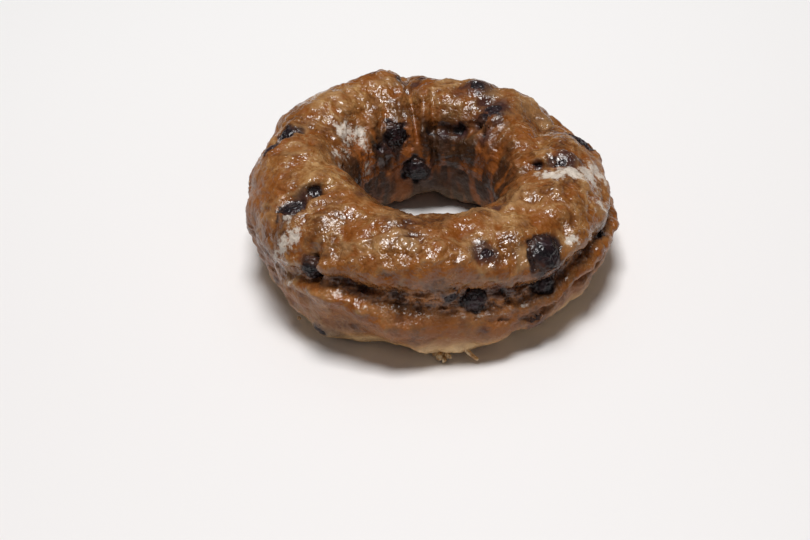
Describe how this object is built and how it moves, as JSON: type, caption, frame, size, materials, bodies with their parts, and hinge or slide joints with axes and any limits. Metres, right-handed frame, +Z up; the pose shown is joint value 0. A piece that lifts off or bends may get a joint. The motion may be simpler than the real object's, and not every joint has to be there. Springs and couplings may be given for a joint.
{
  "type": "glazed blueberry doughnut",
  "caption": "Ring-shaped fried cake with a split round its outer side, whole berries set in its crust and a thin sugar glaze, eaten from the hand.",
  "frame": {"origin": "bottom centre of the box round the whole doughnut, on the surface that it rests on", "axes": "+Z up along the axis of the hole, -Y towards the side whose split is widest, +X to the right of that side"},
  "size_m": [0.0917, 0.0918, 0.034],
  "materials": {
    "dough": "warm tan-brown fried crust, pebbled, under a thin clear to milky sugar glaze with sharp small highlights, darker in the split and hollows, stained purple round the berries",
    "berry": "dark navy to purple-black wrinkled berry skin under thin glaze, with a faint greyish film"
  },
  "bodies": {
    "root": {"dough": "dough", "berry_01": "berry", "berry_02": "berry", "berry_03": "berry", "berry_04": "berry", "berry_05": "berry", "berry_06": "berry", "berry_07": "berry", "berry_08": "berry", "berry_09": "berry", "berry_10": "berry", "berry_11": "berry", "berry_12": "berry", "berry_13": "berry", "berry_14": "berry", "berry_15": "berry", "berry_16": "berry", "berry_17": "berry", "berry_18": "berry", "berry_19": "berry", "berry_20": "berry", "berry_21": "berry", "berry_22": "berry", "berry_23": "berry", "berry_24": "berry"}
  },
  "joints": []
}
